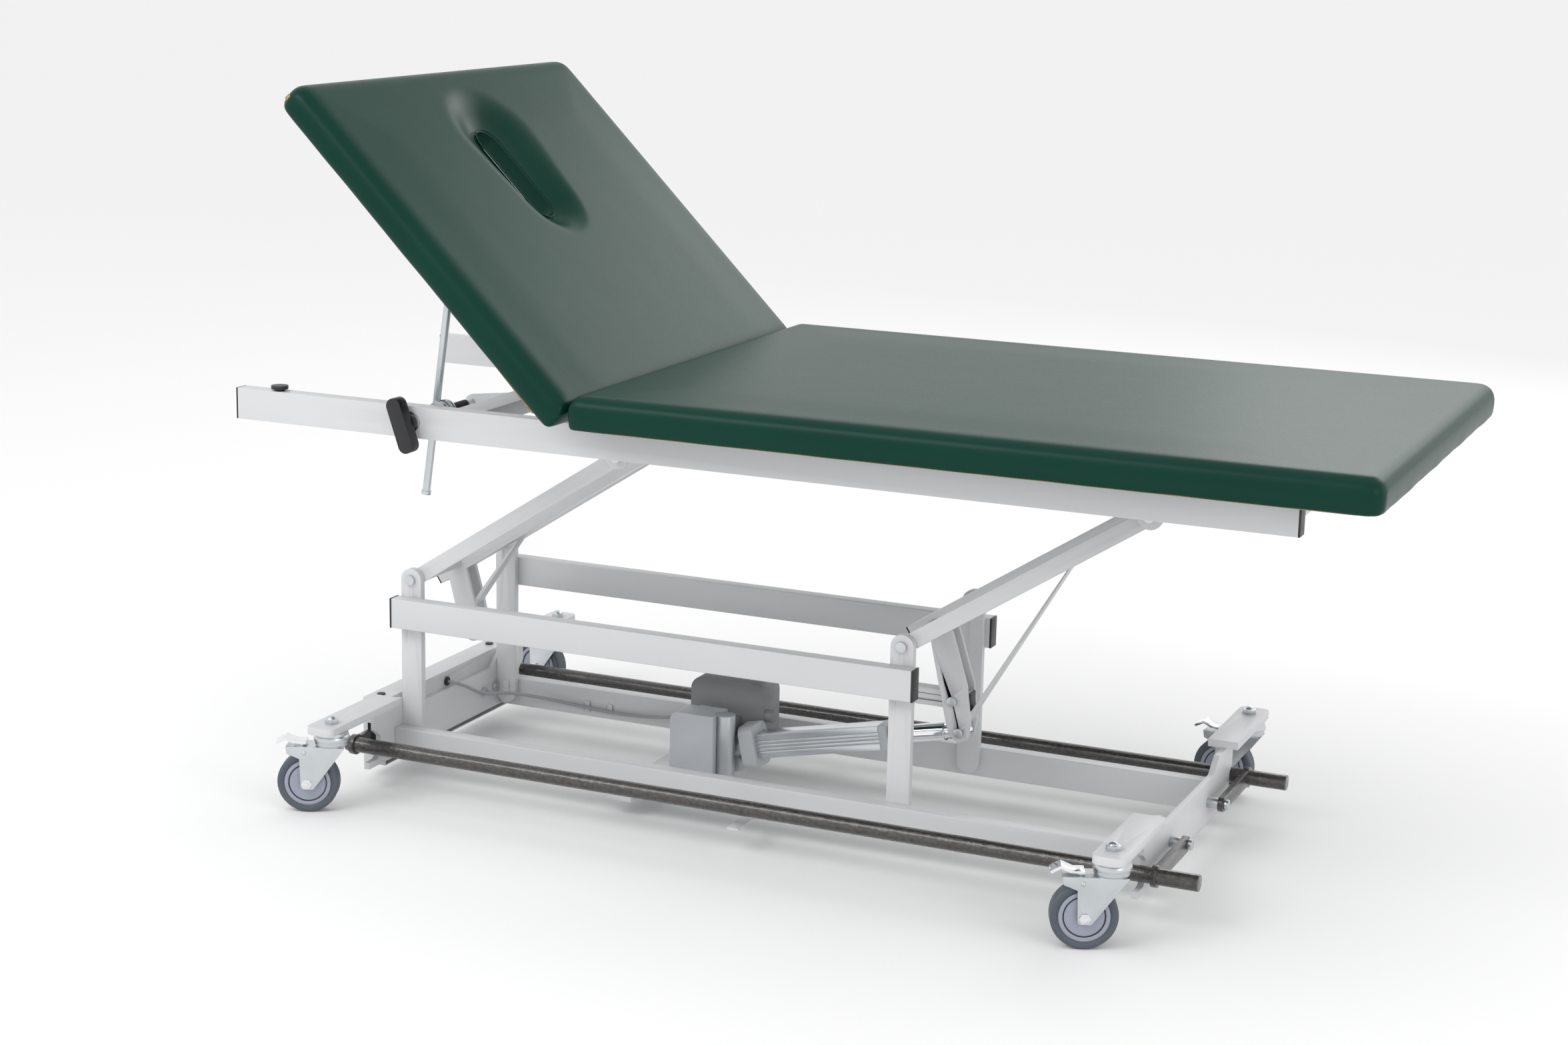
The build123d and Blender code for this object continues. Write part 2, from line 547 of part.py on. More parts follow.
with BuildPart() as clamp_spring:
    round_bar("Y", -222.4, -160, CLAMP, 9)
    round_bar("Y", -223, -159, CLAMP, SHAFT_R, Mode.SUBTRACT)
save(clamp_spring, "clamp_spring")

# The T-handle's bore takes the shaft's end; the handle is left a few degrees off upright.
HANDLE_TILT = 19.0
with BuildPart() as t_handle:
    with BuildSketch(Plane.XZ.offset(344)) as grip:
        with Locations((CLAMP[0] - 1, CLAMP[1] - 2)):
            SlotOverall(90, 25, rotation=90 + HANDLE_TILT)
    extrude(to_extrude=grip.sketch, amount=22)
    round_bar("Y", -344, -336.3, CLAMP, 14)
    round_bar("Y", -351, -330, CLAMP, SHAFT_R + FIT, Mode.SUBTRACT)
save(t_handle, "t_handle")


# ---- backrest, in its own plane: X from the hinge to the head end, Z out of the cushion -------
BACK = Plane(
    origin=(HINGE_X, 0, HINGE_Z),
    x_dir=(-cos(radians(BACK_RISE)), 0, sin(radians(BACK_RISE))),
    z_dir=(sin(radians(BACK_RISE)), 0, cos(radians(BACK_RISE))),
)
BACK_BOARD_TOP = -BACK_HALF + BOARD
POCKET_Y = (304.0, 334.0)
POCKET = 13.5
SLOT_FROM_HINGE = (331.0, 519.0)
SLOT_HALF = 30.0


def face_slot(z):
    """The opening for the face, with round ends."""
    with Locations(((SLOT_FROM_HINGE[0] + SLOT_FROM_HINGE[1]) / 2, 0, 0)):
        Box(SLOT_FROM_HINGE[1] - SLOT_FROM_HINGE[0] - 2 * SLOT_HALF, 2 * SLOT_HALF, z, mode=Mode.SUBTRACT)
    for end in (SLOT_FROM_HINGE[0] + SLOT_HALF, SLOT_FROM_HINGE[1] - SLOT_HALF):
        with Locations((end, 0, 0)):
            Cylinder(SLOT_HALF, z, mode=Mode.SUBTRACT)


def hinge_pockets():
    """Room for the hinge ears under the foot end."""
    for side in SIDES:
        block((-30, 70), mirrored(POCKET_Y, side), (-BACK_HALF - 1, POCKET), Mode.SUBTRACT)


with BuildPart(BACK) as backrest_cushion:
    block((0, BACK_LENGTH), (-TOP_HALF_WIDTH, TOP_HALF_WIDTH), (-BACK_HALF, BACK_HALF))
    fillet(backrest_cushion.edges().filter_by(Axis((0, 0, 0), BACK.z_dir)).sort_by(
        Axis((0, 0, 0), BACK.x_dir))[-2:], 45)
    fillet(backrest_cushion.faces().sort_by(Axis((0, 0, 0), BACK.z_dir))[-1].edges().sort_by(
        Axis((0, 0, 0), BACK.x_dir))[1:], 22)
    round_bar("Y", -TOP_HALF_WIDTH + 10, TOP_HALF_WIDTH - 10, (0, 0), BACK_HALF)
    block((14, BACK_LENGTH + 1), (-500, 500), (-BACK_HALF - 1, BACK_BOARD_TOP), Mode.SUBTRACT)
    face_slot(100)
    hinge_pockets()
save(backrest_cushion, "backrest_cushion")

with BuildPart(BACK) as backrest_board:
    block((14.3, BACK_LENGTH - 8), (-TOP_HALF_WIDTH + 8, TOP_HALF_WIDTH - 8), (-BACK_HALF, BACK_BOARD_TOP))
    face_slot(100)
    hinge_pockets()
save(backrest_board, "backrest_board")

with BuildPart(BACK) as backrest_hinges:
    for side in SIDES:
        for cheek in ((306.0, 311.0), (327.0, 332.0)):
            span = mirrored(cheek, side)
            round_bar("Y", span[0], span[1], (0, 0), 12)
            block((0, 66), span, (-12, 12))
            block((50, 66), span, (-31.5, 0))
            round_bar("Y", span[0] - 1, span[1] + 1, (0, 0), 4 + FIT, Mode.SUBTRACT)
        block((50, 130), mirrored((306.0, 332.0), side), (-31.5, -BACK_HALF))
        block((50, 54), mirrored((306.0, 332.0), side), (-31.5, 12))
save(backrest_hinges, "backrest_hinges")

ROD_PIN_AT = (344.0, -50.0)      # on the backrest, from the hinge axis
with BuildPart(BACK) as rod_bracket:
    for centre in (ROD_Y - 9.5, ROD_Y + 9.5):
        span = (-centre - 2, -centre + 2)
        round_bar("Y", span[0], span[1], ROD_PIN_AT, 10)
        block((ROD_PIN_AT[0] - 10, ROD_PIN_AT[0] + 10), span, (ROD_PIN_AT[1], -BACK_HALF - 3))
    block((ROD_PIN_AT[0] - 30, ROD_PIN_AT[0] + 30), (-ROD_Y - 11.5, -ROD_Y + 11.5),
          (-BACK_HALF - 3, -BACK_HALF))
    round_bar("Y", -ROD_Y - 12, -ROD_Y + 12, ROD_PIN_AT, 4 - FIT)
save(rod_bracket, "rod_bracket")

# The support rod hangs from its pin, past the head side of the clamp shaft, between the jaws.
ROD_LENGTH = 419.0
ROD_TILT = 7.91
ROD_TOP = BACK.from_local_coords(Vector(ROD_PIN_AT[0], -ROD_Y, ROD_PIN_AT[1]))
ROD_DOWN = (-sin(radians(ROD_TILT)), 0, -cos(radians(ROD_TILT)))
ROD = Plane(origin=ROD_TOP, x_dir=(0, 1, 0), z_dir=ROD_DOWN)
with BuildPart(ROD) as support_rod:
    with Locations((0, 0, ROD_LENGTH / 2)):
        Cylinder(ROD_R, ROD_LENGTH)
    with Locations((0, 0, ROD_LENGTH - 3)):
        Cylinder(ROD_R + 1.6, 6)
    with Locations((0, 0, 0)):
        Cylinder(9, 2 * ROD_R, rotation=(0, 90, 0))
        Cylinder(4, 3 * ROD_R, rotation=(0, 90, 0), mode=Mode.SUBTRACT)
save(support_rod, "support_rod")


# ---- foot bars: bar, two levers on their pivots, collars ---------------------------------------
for side, name in ((-1, "near"), (1, "far")):
    with BuildPart() as foot_bar:
        round_bar("X", FOOT_BAR_X[0], FOOT_BAR_X[1], (side * FOOT_BAR_Y, FOOT_BAR_Z), 12.7)
        for x in FOOT_LEVER_X:
            with BuildSketch(Plane.YZ.offset(x[0])) as outline:
                with Locations((side * (FOOT_LEVER_PIVOT_Y + FOOT_BAR_Y) / 2, 75)):
                    SlotCenterToCenter(FOOT_BAR_Y - FOOT_LEVER_PIVOT_Y, 25)
                with Locations((side * FOOT_BAR_Y, FOOT_BAR_Z)):
                    Circle(17)
            extrude(to_extrude=outline.sketch, amount=x[1] - x[0])
            round_bar("X", x[0] - 1, x[1] + 1, (side * FOOT_LEVER_PIVOT_Y, 75), 5 + FIT, Mode.SUBTRACT)
    save(foot_bar, f"foot_bar_{name}")


# ---- casters -----------------------------------------------------------------------------------
FORK_TOP = CASTER_BAR_Z[0] - CLEAR
CASTERS = {
    "near_head": (SWIVEL_X[0], -SWIVEL_Y, 23.0),
    "near_foot": (SWIVEL_X[1], -SWIVEL_Y, 23.0),
    "far_head": (SWIVEL_X[0], SWIVEL_Y, -6.0),
    "far_foot": (SWIVEL_X[1], SWIVEL_Y, -2.0),
}
LEG_Y = (17.0, 20.0)


def caster_side(turn, points, span, corner=0):
    """An outline in the caster's own XZ plane, between two local Y values; its foot may be rounded."""
    upright = Plane(origin=turn.from_local_coords(Vector(0, span[0], 0)),
                    x_dir=turn.x_dir, z_dir=(-turn.y_dir.X, -turn.y_dir.Y, 0))
    with BuildSketch(upright) as outline:
        with BuildLine():
            Polyline(*points, close=True)
        make_face()
        if corner:
            fillet(outline.vertices().sort_by(Axis.Y)[:2], corner)
    extrude(to_extrude=outline.sketch, amount=-(span[1] - span[0]))


for name, (x, y, yaw) in CASTERS.items():
    turn = Plane(origin=(x, y, 0), x_dir=(cos(radians(yaw)), sin(radians(yaw)), 0), z_dir=(0, 0, 1))

    with BuildPart(turn) as fork:
        round_bar("Z", 117, FORK_TOP, (0, 0), 27)
        round_bar("Z", 112, 117.5, (0, 0), 25)
        block((-72, 10), (-LEG_Y[1], LEG_Y[1]), (109, 112))
        for side in SIDES:
            caster_side(turn, [(-TRAIL - 10, 40), (-TRAIL + 10, 40), (24, 111), (-72, 111), (-70, 100), (-50, 92)],
                        mirrored(LEG_Y, side), corner=6)
        round_bar("Y", -LEG_Y[1] - 5, LEG_Y[1] + 5, (-TRAIL, WHEEL_R), 5)
        for side in SIDES:
            round_bar("Y", side * LEG_Y[1], side * (LEG_Y[1] + 5), (-TRAIL, WHEEL_R), 7.5)
            round_bar("Y", side * 14.6, side * 17.5, (-TRAIL, WHEEL_R), 8)
    save(fork, f"fork_{name}")

    with BuildPart(turn) as tread:
        round_bar("Y", -WHEEL_HALF, WHEEL_HALF, (-TRAIL, WHEEL_R), WHEEL_R)
        fillet(tread.edges().filter_by(GeomType.CIRCLE), 4)
        round_bar("Y", -20, 20, (-TRAIL, WHEEL_R), 38, Mode.SUBTRACT)
    save(tread, f"tread_{name}")

    with BuildPart(turn) as hub:
        round_bar("Y", -WHEEL_HALF + 1, WHEEL_HALF - 1, (-TRAIL, WHEEL_R), 38)
        round_bar("Y", -20, 20, (-TRAIL, WHEEL_R), 5 + FIT, Mode.SUBTRACT)
    save(hub, f"hub_{name}")

    with BuildPart(turn) as pedal:
        block((-58, -40), (-13, 13), (115.2, 119))
        round_bar("Y", -13, 13, (-46, 116), 3.2)
        caster_side(turn, [(-60, 115.6), (-56, 119), (-74, 127), (-90, 118), (-88, 114), (-74, 122)], (-13, 13))
    save(pedal, f"pedal_{name}")
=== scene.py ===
import json
from math import cos, pi, radians, sin

import bmesh
import bpy
import numpy as np
from mathutils import Matrix, Vector


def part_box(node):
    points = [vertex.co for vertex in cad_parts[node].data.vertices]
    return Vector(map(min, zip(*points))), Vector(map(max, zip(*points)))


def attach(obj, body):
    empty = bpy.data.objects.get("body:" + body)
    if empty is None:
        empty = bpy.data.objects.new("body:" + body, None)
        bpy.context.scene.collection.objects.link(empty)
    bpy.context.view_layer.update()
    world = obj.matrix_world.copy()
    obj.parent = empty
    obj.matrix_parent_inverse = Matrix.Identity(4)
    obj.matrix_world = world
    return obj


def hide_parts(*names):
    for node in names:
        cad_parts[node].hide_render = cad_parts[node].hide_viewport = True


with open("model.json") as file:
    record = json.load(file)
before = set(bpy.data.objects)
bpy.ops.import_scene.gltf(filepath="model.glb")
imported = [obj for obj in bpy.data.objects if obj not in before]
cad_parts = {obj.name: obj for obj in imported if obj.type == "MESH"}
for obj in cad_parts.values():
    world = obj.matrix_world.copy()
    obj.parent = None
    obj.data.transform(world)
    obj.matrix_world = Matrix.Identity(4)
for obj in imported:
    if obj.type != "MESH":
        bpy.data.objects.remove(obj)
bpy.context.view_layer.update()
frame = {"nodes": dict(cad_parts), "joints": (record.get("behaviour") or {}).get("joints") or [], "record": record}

NODES = frame["nodes"]
JOINTS = {joint["name"]: joint for joint in frame["joints"]}
MM = 0.001


# ---- camera --------------------------------------------------------------------------------
camera_data = bpy.data.cameras.new("camera")
camera_data.lens = 63.04
camera_data.sensor_width = 36
camera = bpy.data.objects.new("camera", camera_data)
camera.matrix_world = Matrix((
    (0.91327, -0.10907, 0.39247, 1.6464),
    (0.40682, 0.19551, -0.89234, -3.9974),
    (0.02059, 0.97462, 0.22293, 1.4745),
    (0, 0, 0, 1),
))
bpy.context.scene.collection.objects.link(camera)
bpy.context.scene.camera = camera


# ---- materials -----------------------------------------------------------------------------
class Shader:
    """A node material with one Principled shader; constant values go on its own sockets."""

    def __init__(self, name, color, roughness, **values):
        self.material = bpy.data.materials.new(name)
        self.material.use_nodes = True
        self.tree = self.material.node_tree
        self.surface = self.tree.nodes["Principled BSDF"]
        self.surface.inputs["Base Color"].default_value = (*color, 1)
        self.surface.inputs["Roughness"].default_value = roughness
        for key, value in values.items():
            self.surface.inputs[key.replace("_", " ")].default_value = value
        self.color = color
        self.place = self.node("ShaderNodeTexCoord").outputs["Object"]
        self.normal = None

    def node(self, kind, **values):
        made = self.tree.nodes.new(kind)
        for key, value in values.items():
            if key in made.inputs.keys():
                made.inputs[key].default_value = value
            else:
                setattr(made, key, value)
        return made

    def join(self, start, end):
        self.tree.links.new(start, end)

    def stretched(self, scale):
        """Object coordinates with a scale of their own on each axis."""
        mapping = self.node("ShaderNodeMapping", Scale=scale)
        self.join(self.place, mapping.inputs["Vector"])
        return mapping.outputs["Vector"]

    def noise(self, scale, detail=3.0, stretch=None):
        texture = self.node("ShaderNodeTexNoise", Scale=scale, Detail=detail)
        self.join(self.stretched(stretch) if stretch else self.place, texture.inputs["Vector"])
        return texture.outputs["Fac"]

    def cells(self, scale):
        texture = self.node("ShaderNodeTexVoronoi", Scale=scale, feature="SMOOTH_F1")
        self.join(self.place, texture.inputs["Vector"])
        return texture.outputs["Distance"]

    def tint(self, fac, low, high, span=(0.3, 0.7)):
        """Base colour between two shades of the material's colour."""
        ramp = self.node("ShaderNodeValToRGB")
        self.join(fac, ramp.inputs["Fac"])
        for stop, place, shade in zip(ramp.color_ramp.elements, span, (low, high)):
            stop.position = place
            stop.color = (*[min(1.0, channel * shade) for channel in self.color], 1)
        self.join(ramp.outputs["Color"], self.surface.inputs["Base Color"])
        return ramp

    def gloss(self, fac, low, high):
        spread = self.node("ShaderNodeMapRange")
        spread.inputs["To Min"].default_value = low
        spread.inputs["To Max"].default_value = high
        self.join(fac, spread.inputs["Value"])
        self.join(spread.outputs["Result"], self.surface.inputs["Roughness"])

    def bump(self, height, strength, distance):
        relief = self.node("ShaderNodeBump", Strength=strength, Distance=distance)
        self.join(height, relief.inputs["Height"])
        if self.normal:
            self.join(self.normal, relief.inputs["Normal"])
        self.normal = relief.outputs["Normal"]
        self.join(self.normal, self.surface.inputs["Normal"])


def white_powder_coat():
    s = Shader("white_powder_coat", (0.60, 0.61, 0.62), 0.4, Coat_Weight=0.12, Coat_Roughness=0.25)
    s.tint(s.noise(2.3), 0.96, 1.03)
    s.gloss(s.noise(40), 0.34, 0.46)
    s.bump(s.noise(900, 2), 0.12, 0.0004)
    return s.material


def vinyl():
    s = Shader("vinyl", (0.0008, 0.034, 0.022), 0.33, Specular_IOR_Level=0.14)
    s.tint(s.noise(3.0, 4), 0.9, 1.08)
    s.gloss(s.noise(260, 4), 0.29, 0.39)
    s.bump(s.cells(1500), 0.10, 0.0003)
    s.bump(s.noise(14, 3), 0.10, 0.004)
    return s.material


def hammertone():
    s = Shader("hammertone", (0.03, 0.026, 0.024), 0.26, Specular_IOR_Level=0.7, Coat_Weight=0.5,
               Coat_Roughness=0.12)
    s.tint(s.cells(170), 1.9, 0.45, (0.1, 0.75))
    s.gloss(s.noise(120), 0.18, 0.42)
    s.bump(s.cells(170), 0.55, 0.0012)
    return s.material


def metal(name, color, low, high, stretch=(1, 1, 1), grain=300, relief=0.05):
    s = Shader(name, color, (low + high) / 2, Metallic=1.0)
    s.tint(s.noise(18), 0.93, 1.05)
    s.gloss(s.noise(grain, 3, stretch), low, high)
    s.bump(s.noise(grain, 3, stretch), relief, 0.0003)
    return s.material


def plastic(name, color, rough, grain=1100, relief=0.08):
    s = Shader(name, color, rough)
    s.tint(s.noise(9), 0.94, 1.05)
    s.gloss(s.noise(70), rough - 0.05, rough + 0.07)
    s.bump(s.noise(grain, 2), relief, 0.0003)
    return s.material


def plywood():
    s = Shader("plywood", (0.42, 0.27, 0.15), 0.62)
    s.tint(s.noise(11, 6, (1, 14, 14)), 0.7, 1.15)
    s.bump(s.noise(40, 4, (1, 14, 14)), 0.2, 0.0006)
    return s.material


WHITE = white_powder_coat()
VINYL = vinyl()
HAMMERTONE = hammertone()
ZINC = metal("zinc", (0.60, 0.63, 0.65), 0.24, 0.38, grain=120)
CHROME = metal("chrome", (0.83, 0.84, 0.86), 0.05, 0.11, grain=60, relief=0.01)
EXTRUSION = metal("extrusion", (0.66, 0.68, 0.71), 0.24, 0.36, (0.05, 1, 1), 700, 0.12)
CAST = metal("cast_silver", (0.55, 0.57, 0.59), 0.36, 0.5, grain=500, relief=0.2)
BLACK = plastic("black_plastic", (0.012, 0.012, 0.014), 0.42)
SPRING_BLACK = plastic("spring_black", (0.016, 0.016, 0.018), 0.3)
LIGHT = plastic("light_plastic", (0.46, 0.485, 0.51), 0.44)
GREY = plastic("grey_plastic", (0.21, 0.212, 0.217), 0.48)
TREAD = plastic("tread_rubber", (0.075, 0.09, 0.11), 0.5, 260, 0.12)
HUB = plastic("hub_plastic", (0.30, 0.32, 0.39), 0.36)
# Near-black colour painted into the hubs' grooves as their shade.
GROOVE_SHADE = plastic("hub_groove_shade", (0.02, 0.022, 0.03), 0.4)
LEAD = plastic("lead_grey", (0.30, 0.31, 0.32), 0.45)
PLYWOOD = plywood()

PAINT = {
    "white_steel": WHITE, "black_plastic": BLACK, "zinc": ZINC, "chrome": CHROME,
    "extrusion": EXTRUSION, "light_plastic": LIGHT, "grey_plastic": GREY, "hammertone": HAMMERTONE,
    "vinyl": VINYL, "plywood": PLYWOOD, "tread_rubber": TREAD, "hub_plastic": HUB, "cable_grey": LEAD,
}
OWN_PAINT = {"gear_housing": CAST, "clamp_spring": SPRING_BLACK}


# ---- helpers for pieces --------------------------------------------------------------------
def object_of(bm, name):
    """An object from a bmesh, linked into the scene."""
    mesh = bpy.data.meshes.new(name)
    bm.to_mesh(mesh)
    bm.free()
    made = bpy.data.objects.new(name, mesh)
    bpy.context.scene.collection.objects.link(made)
    return made


def make_piece(name, bm, material, body, smooth=True):
    """A piece from a bmesh, riding on a body."""
    bm.normal_update()
    piece = object_of(bm, name)
    piece.data.materials.append(material)
    if smooth:
        piece.data.shade_smooth()
    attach(piece, body)
    return piece


def apply_modifiers(piece):
    """Replace a piece's mesh by its evaluated one."""
    graph = bpy.context.evaluated_depsgraph_get()
    mesh = bpy.data.meshes.new_from_object(piece.evaluated_get(graph))
    piece.modifiers.clear()
    piece.data = mesh


def points_of(mesh):
    flat = np.zeros(len(mesh.vertices) * 3)
    mesh.vertices.foreach_get("co", flat)
    return flat.reshape(-1, 3)


def set_points(mesh, points):
    mesh.vertices.foreach_set("co", points.astype(np.float32).ravel())
    mesh.update()


def lathe(profile, place, steps):
    """A bmesh turned about local Z from (radius, height) points in millimetres; place is a 4x4 matrix."""
    bm = bmesh.new()
    rings = []
    for radius, height in ((r * MM, z * MM) for r, z in profile):
        ring = []
        for step in range(steps):
            turn = 2 * pi * step / steps
            ring.append(bm.verts.new((radius * cos(turn), radius * sin(turn), height)))
        rings.append(ring)
    for low, high in zip(rings, rings[1:]):
        for step in range(steps):
            after = (step + 1) % steps
            bm.faces.new((low[step], low[after], high[after], high[step]))
    bm.faces.new(reversed(rings[0]))
    bm.faces.new(rings[-1])
    bm.transform(place)
    return bm


def along(direction, origin):
    """Matrix that turns local Z to a direction, at an origin."""
    turn = Vector(direction).to_track_quat("Z", "Y").to_matrix().to_4x4()
    return Matrix.Translation(origin) @ turn


def strand(points, radius, closed=False, sides=8):
    """A bmesh tube along points."""
    bm = bmesh.new()
    rings = []
    count = len(points)
    up = Vector((0.13, 0.27, 0.95)).normalized()
    for index, point in enumerate(points):
        before = points[index - 1] if index or closed else point
        after = points[(index + 1) % count] if index < count - 1 or closed else point
        forward = (Vector(after) - Vector(before)).normalized()
        side = forward.cross(up).normalized()
        upward = side.cross(forward)
        ring = []
        for step in range(sides):
            turn = 2 * pi * step / sides
            offset = side * cos(turn) * radius + upward * sin(turn) * radius
            ring.append(bm.verts.new(Vector(point) + offset))
        rings.append(ring)
    pairs = list(zip(rings, rings[1:]))
    if closed:
        pairs.append((rings[-1], rings[0]))
    for low, high in pairs:
        for step in range(sides):
            after = (step + 1) % sides
            bm.faces.new((low[step], low[after], high[after], high[step]))
    if not closed:
        bm.faces.new(reversed(rings[0]))
        bm.faces.new(rings[-1])
    return bm


# ---- carried-over CAD nodes ----------------------------------------------------------------
WELD_GAP = 0.01 * MM
BEVEL_SEGMENTS = 3
SHARP_ANGLE = radians(50)
# Edge radii in millimetres, by material slot and by node.
ROUNDING = {
    "white_steel": 1.6, "black_plastic": 0.8, "light_plastic": 5.0, "grey_plastic": 6.0, "extrusion": 2.0,
    "hammertone": 0.9, "zinc": 0.4, "chrome": 0.5, "hub_plastic": 0.8,
}
OWN_ROUNDING = {"gear_housing": 3.0, "t_handle": 4.0, "actuator_guide": 3.0, "control_box": 0.4}
slots_of = {entry["node"]: entry["material_slot"] for entry in frame["record"]["subparts"]}
for node_name, node in NODES.items():
    slot_name = slots_of[node_name]
    node.data.materials.clear()
    node.data.materials.append(OWN_PAINT.get(node_name, PAINT[slot_name]))
    weld = node.modifiers.new("weld", "WELD")
    weld.merge_threshold = WELD_GAP
    width = OWN_ROUNDING.get(node_name, ROUNDING.get(slot_name))
    if width:
        bevel = node.modifiers.new("bevel", "BEVEL")
        bevel.width = width * MM
        bevel.segments = BEVEL_SEGMENTS
        bevel.limit_method = "ANGLE"
        bevel.angle_limit = SHARP_ANGLE
        bevel.use_clamp_overlap = True
        bevel.harden_normals = True
    node.data.shade_smooth()


# ---- cushions ------------------------------------------------------------------------------
# Known fault: this is the joint's lower limit, 44.75 degrees, and the board rests at 46.25. So the
# vinyl is tilted 1.5 degrees away from its board.
RISE = radians(-JOINTS["backrest_tilt"]["range_deg"][0])
HINGE = Vector(JOINTS["backrest_tilt"]["pos_m"])
BACK = Matrix((
    (-cos(RISE), 0, sin(RISE), HINGE.x),
    (0, -1, 0, HINGE.y),
    (sin(RISE), 0, cos(RISE), HINGE.z),
    (0, 0, 0, 1),
))
SEAT_LOW = Vector(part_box("seat_board")[0])
SEAT_LOW.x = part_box("seat_cushion")[0][0]
SEAT_LOW.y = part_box("seat_cushion")[0][1]
SEAT_HIGH = Vector(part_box("seat_cushion")[1])
BACK_HALF = 28.2 * MM
BACK_LONG = 647.5 * MM
HALF_WIDE = SEAT_HIGH.y
VOXEL = 6 * MM
# How far the top falls at its open edges and over which distance from them; the height of the drawn-in skirt, and how
# near the edge it starts.
CROWN = 2 * MM
CROWN_SPAN = (30 * MM, 160 * MM)
SKIRT = 24 * MM
RIM = 30 * MM


def padded_box(low, high, plan_radii, top_radius, low_radius):
    """A bevelled box. plan_radii are the corner radii at the low and the high X end."""
    bm = bmesh.new()
    bmesh.ops.create_cube(bm, size=1)
    for vert in bm.verts:
        for axis in range(3):
            vert.co[axis] = low[axis] if vert.co[axis] < 0 else high[axis]
    for at_high, radius in enumerate(plan_radii):
        edges = [e for e in bm.edges if abs(e.verts[0].co.z - e.verts[1].co.z) > 0.01
                 and (e.verts[0].co.x > (low[0] + high[0]) / 2) == bool(at_high)]
        bmesh.ops.bevel(bm, geom=edges, offset=radius, segments=8, affect="EDGES", profile=0.5)
    for level, radius in ((high[2], top_radius), (low[2], low_radius)):
        edges = [e for e in bm.edges if len(e.link_faces) == 2
                 and all(abs(v.co.z - level) < 1e-5 for v in e.verts)
                 and abs(e.link_faces[0].normal.z - e.link_faces[1].normal.z) > 0.5]
        bmesh.ops.bevel(bm, geom=edges, offset=radius, segments=6, affect="EDGES", profile=0.5)
    return bm


def smooth_step(value, start, end):
    t = np.clip((value - start) / (end - start), 0, 1)
    return t * t * (3 - 2 * t)


def edge_waves(points, axis):
    """Slow unevenness of the pulled vinyl along the lower edge."""
    run = points[:, axis]
    return 0.6 * np.sin(run * 31) + 0.4 * np.sin(run * 67 + 1.3)


def remesh(piece, rounds):
    """Voxel-remesh a piece, after any modifier it already has, and smooth it."""
    voxels = piece.modifiers.new("remesh", "REMESH")
    voxels.mode = "VOXEL"
    voxels.voxel_size = VOXEL
    relax = piece.modifiers.new("relax", "SMOOTH")
    relax.factor = 0.5
    relax.iterations = rounds
    bpy.context.view_layer.update()
    apply_modifiers(piece)


def lower_crown(p, top, inward):
    """Let the top fall away toward the open edges."""
    p[:, 2] -= top * CROWN * (1 - smooth_step(inward, *CROWN_SPAN))


def draw_in(p, low, high, pull, wave):
    """Draw the lower edge inward along the sides and the far end, unevenly; pull and wave are in millimetres."""
    skirt = 1 - smooth_step(p[:, 2], low.z, low.z + SKIRT)
    side = np.sign(p[:, 1]) * smooth_step(np.abs(p[:, 1]), HALF_WIDE - RIM, HALF_WIDE)
    end = smooth_step(p[:, 0], high.x - RIM, high.x)
    p[:, 1] -= side * skirt * (pull + wave * edge_waves(p, 0)) * MM
    p[:, 0] -= end * skirt * (pull + wave * edge_waves(p, 1)) * MM


def finish_cushion(piece, body, node):
    subdivide = piece.modifiers.new("subdivide", "SUBSURF")
    subdivide.levels = 1
    subdivide.render_levels = 1
    piece.data.materials.append(VINYL)
    piece.data.shade_smooth()
    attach(piece, body)
    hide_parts(node)


def make_seat():
    low = SEAT_LOW + Vector((0.5 * MM, 1.5 * MM, -0.6 * MM))
    high = SEAT_HIGH - Vector((1.5 * MM, 1.5 * MM, 1.5 * MM))
    bm = padded_box(low, high, (10 * MM, 26 * MM), 24 * MM, 2.5 * MM)
    piece = object_of(bm, "seat_vinyl")
    remesh(piece, 6)
    p = points_of(piece.data)
    middle = (low + high) / 2
    top = smooth_step(p[:, 2], middle.z, high.z)
    inward = np.minimum(p[:, 0] - low.x, high.x - p[:, 0])
    inward = np.minimum(inward, HALF_WIDE - np.abs(p[:, 1]))
    lower_crown(p, top, inward)
    draw_in(p, low, high, 1.6, 0.8)
    # The vinyl is pleated at the two foot corners.
    for turn in (-1, 1):
        corner = np.array([high.x - 26 * MM, turn * (HALF_WIDE - 26 * MM)])
        angle = np.arctan2((p[:, 1] - corner[1]) * turn, p[:, 0] - corner[0])
        reach = np.hypot(p[:, 0] - corner[0], p[:, 1] - corner[1])
        near = smooth_step(reach, 8 * MM, 20 * MM) * (1 - smooth_step(reach, 60 * MM, 80 * MM))
        pleat = np.exp(-((angle - 0.95) / 0.09) ** 2) + 0.7 * np.exp(-((angle - 0.6) / 0.07) ** 2)
        depth = 2.2 * MM * pleat * near * (1 - smooth_step(p[:, 2], low.z + 8 * MM, low.z + 30 * MM))
        p[:, 0] -= depth * np.cos(angle)
        p[:, 1] -= depth * np.sin(angle) * turn
    p[:, 0] = np.clip(p[:, 0], SEAT_LOW.x + 0.3 * MM, None)
    set_points(piece.data, p)
    finish_cushion(piece, "top_frame", "seat_cushion")


# The face slot, along the backrest from its hinge; its bead lies this far outside the rim and below the top.
SLOT_X = (331 * MM, 519 * MM)
SLOT_HALF = 29 * MM
SLOT_CENTRES = (SLOT_X[0] + SLOT_HALF, SLOT_X[1] - SLOT_HALF)
BEAD_OUT = 2.5 * MM
BEAD_DROP = 23.5 * MM
BEAD_R = 1.1 * MM
CUTTER_REACH = 80 * MM


